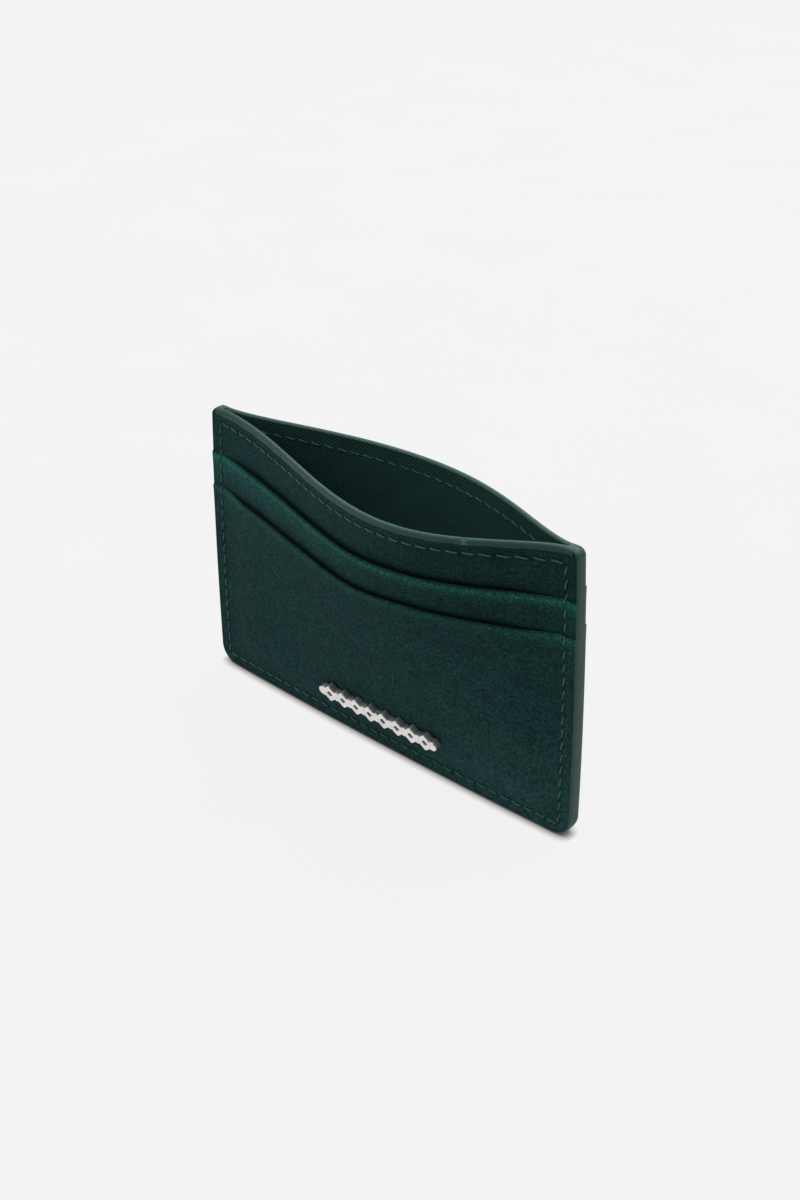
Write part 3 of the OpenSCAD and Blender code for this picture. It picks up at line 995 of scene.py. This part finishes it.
def badge_piece(name, node, material):
    """A generic openwork bar: lozenge links with a bead at each joint, polished."""
    arris, clearance = 0.2, 0.03
    link = (BADGE_LENGTH - 2 * BEAD_RADIUS) / BADGE_LINKS
    slim = 2 * math.sqrt(2) * arris
    outer_size = link + LINK_WIDTH - slim, BADGE_HEIGHT - slim
    inner_size = link - 2 * LINK_WIDTH + slim, BADGE_HEIGHT - 3 * LINK_WIDTH + slim
    parts = []
    for i in range(BADGE_LINKS):
        cx = (i - (BADGE_LINKS - 1) / 2) * link
        outer = rounded_lozenge(cx, *outer_size, 0.3)
        inner = rounded_lozenge(cx, *inner_size, 0.12, -1)
        parts.append(curve_plate(f"badge_link_{i}", [outer, inner], BADGE_THICKNESS, arris))
    for i in range(BADGE_LINKS + 1):
        cx, r = (i - BADGE_LINKS / 2) * link, BEAD_RADIUS - arris
        turns = np.arange(28) / 28 * 2 * math.pi
        circle = [(cx + r * math.cos(a), r * math.sin(a)) for a in turns]
        parts.append(curve_plate(f"badge_bead_{i}", [circle], BADGE_THICKNESS, arris))
    bar = parts[0]
    for other in parts[1:]:
        union = bar.modifiers.new("union", "BOOLEAN")
        union.operation = "UNION"
        union.solver = "EXACT"
        union.object = other
        bake_modifiers(bar)
        bpy.data.objects.remove(other)
    bar.name = bar.data.name = name
    lift = Matrix.Translation((0, 0, (clearance + BADGE_THICKNESS / 2) * MM))
    bar.data.transform(badge_frame() @ lift)
    bar.data.materials.clear()
    shade_smooth(bar.data, 30)
    return add_piece(bar, [node], material)


def bake_modifiers(obj):
    mesh = evaluated_mesh(obj)
    obj.modifiers.clear()
    obj.data = mesh


def turned(name, node, profile, places, material, sides=32):
    """Solids of revolution from a closed (radius, z) profile in mm, at places along the badge."""
    angles = np.arange(sides) / sides * 2 * math.pi
    profile = np.asarray(profile)
    place = np.array(badge_frame())
    points, quads = [], []
    for px in places:
        x = px + profile[None, :, 0] * np.cos(angles)[:, None]
        y = profile[None, :, 0] * np.sin(angles)[:, None]
        ring = np.stack([x, y, np.broadcast_to(profile[None, :, 1], x.shape)], -1)
        ring = ring.reshape(-1, 3) * MM
        ring = ring @ place[:3, :3].T + place[:3, 3]
        base = sum(len(p) for p in points)
        points.append(ring)
        index = base + np.arange(len(ring)).reshape(sides, len(profile))
        nxt = np.roll(index, -1, axis=0)
        cell = [index, nxt, np.roll(nxt, -1, 1), np.roll(index, -1, 1)]
        quads.append(np.stack(cell, -1).reshape(-1, 4))
    obj = make_object(name, np.concatenate(points), np.concatenate(quads), sharp=35)
    return add_piece(obj, [node], material)


def badge_fixings(material):
    """Two posts through the lower pocket, each with a washer behind the suede."""
    spots = (-BADGE_LENGTH / 3, BADGE_LENGTH / 3)
    foot, r, core, chamfer = -(POCKET + 0.15), 0.5, 0.01, 0.08
    post = [
        (core, foot), (r - chamfer, foot), (r, foot + chamfer),
        (r, 0.01), (r - 0.05, 0.02), (core, 0.02),
    ]
    turned("badge_post_pins", "badge_posts", post, spots, material)
    low, high = -POCKET - 0.18, -POCKET - 0.03
    bore, flat, shoulder, rim = 0.53, 1.0, 1.44, 1.5
    washer = [
        (bore, low), (flat, low), (shoulder, low + 0.02), (rim, (low + high) / 2),
        (shoulder, high), (flat, high), (bore, high),
    ]
    turned("badge_washer_rings", "badge_washers", washer, spots, material)


def floor():
    """A pale sweep under everything."""
    n, half_size, below_foot = 24, 3.0, 0.0001
    ticks = np.linspace(-half_size, half_size, n)
    x, y = np.meshgrid(ticks, ticks)
    points = np.stack([x.ravel(), y.ravel(), np.full(x.size, -below_foot)], 1)
    index = np.arange(n * n).reshape(n, n)
    faces = np.stack(
        [index[:-1, :-1], index[:-1, 1:], index[1:, 1:], index[1:, :-1]], -1
    ).reshape(-1, 4)
    mesh = bpy.data.meshes.new("pale_floor")
    mesh.from_pydata(points.tolist(), [], faces.tolist())
    obj = link_object("pale_floor", mesh)
    obj.data.materials.append(floor_material())


def build():
    suede, twill, board = suede_material(), twill_material(), board_material()
    paint, thread = paint_material(), thread_material()
    for side in (FRONT, BACK):
        label = SIDE_NAME[side]
        lining = panel_sheet(f"{label}_lining_cloth", side, "lining")
        add_piece(lining, [f"{label}_lining"], twill)
        stiff = panel_sheet(f"{label}_stiffener_board", side, "stiffener")
        add_piece(stiff, [f"{label}_stiffener"], board)
        body = panel_sheet(f"{label}_body_suede", side, "body")
        add_piece(body, [f"{label}_body_panel"], suede)
        for level in ("upper", "lower"):
            pocket = pocket_sheet(f"{label}_{level}_pocket_suede", side, level)
            add_piece(pocket, [f"{label}_{level}_pocket"], suede)
        bead = rim_bead(f"{label}_rim_bead", side)
        add_piece(bead, [f"{label}_rim_paint"], paint)
        rim = thread_piece(
            f"{label}_rim_stitches",
            side,
            rim_line_stitches(),
            body_face,
            inside_stitches(),
        )
        add_piece(rim, [f"{label}_rim_thread"], thread)
        seam = thread_piece(
            f"{label}_seam_stitches",
            side,
            seam_line_stitches(),
            lambda x, s: outer_face(side, x, s) + rim_swell(side, x, s) * THREAD_ABOVE_SWELL,
        )
        add_piece(seam, [f"{label}_seam_thread"], thread)
        foot = thread_piece(
            f"{label}_slot_foot_stitches",
            side,
            slot_foot_stitches(),
            lambda x, s: upper_outer(x, s) + GLUE,
        )
        add_piece(foot, [f"{label}_slot_foot_thread"], thread)
    add_piece(
        edge_bead("edge_bead"), ["side_and_bottom_edge_paint"], paint
    )
    silver = metal_material("polished_silver", (214, 210, 208), (236, 233, 231), (0.28, 0.42))
    steel = metal_material("plain_steel", (170, 168, 165), (196, 194, 190), (0.25, 0.4))
    badge_piece("badge_bar", "badge", silver)
    badge_fixings(steel)


# Camera and light


def camera():
    """A camera at the fitted angle, distance and small shift."""
    azimuth, elevation, roll = (math.radians(a) for a in (41.73, 31.46, -0.40))
    distance, shift_x, shift_y, aim = 0.3335, 0.00334, -0.00092, Vector((0, 0, 0.038))
    back = Vector(
        (
            math.sin(azimuth) * math.cos(elevation),
            -math.cos(azimuth) * math.cos(elevation),
            math.sin(elevation),
        )
    )
    right = (-back).cross(Vector((0, 0, 1))).normalized()
    up = right.cross(-back)
    right, up = (
        right * math.cos(roll) + up * math.sin(roll),
        up * math.cos(roll) - right * math.sin(roll),
    )
    data = bpy.data.cameras.new("camera")
    data.sensor_width = 36.0
    focal_share = 1550 / 1200  # focal length over the frame's long side
    data.lens = focal_share * data.sensor_width
    data.clip_start = 0.01
    obj = bpy.data.objects.new("camera", data)
    place = Matrix((right, up, back)).transposed().to_4x4()
    place.translation = aim + back * distance + right * shift_x + up * shift_y
    obj.matrix_world = place
    bpy.context.scene.collection.objects.link(obj)
    bpy.context.scene.camera = obj


def soft_box(name, place, size, power, aim=(0, 0, 0.03)):
    data = bpy.data.lights.new(name, "AREA")
    data.shape = "RECTANGLE"
    data.size, data.size_y = size
    data.energy = power
    obj = bpy.data.objects.new(name, data)
    obj.location = place
    way = Vector(aim) - Vector(place)
    obj.rotation_euler = way.to_track_quat("-Z", "Y").to_euler()
    bpy.context.scene.collection.objects.link(obj)


def lighting():
    world = bpy.data.worlds.new("studio")
    world.use_nodes = True
    world.node_tree.nodes["Background"].inputs[0].default_value = (1.0, 0.99, 0.98, 1)
    world.node_tree.nodes["Background"].inputs[1].default_value = 0.3
    bpy.context.scene.world = world
    soft_box("back_top", (-0.05, 0.6, 0.9), (1.3, 0.9), 19.0)
    soft_box("front_top", (-0.2, -0.5, 1.0), (1.0, 0.8), 5.0)
    soft_box("left_front", (-0.8, -0.7, 0.5), (0.5, 0.5), 1.0)
    bpy.context.scene.view_settings.view_transform = "Standard"


build()
floor()
camera()
lighting()
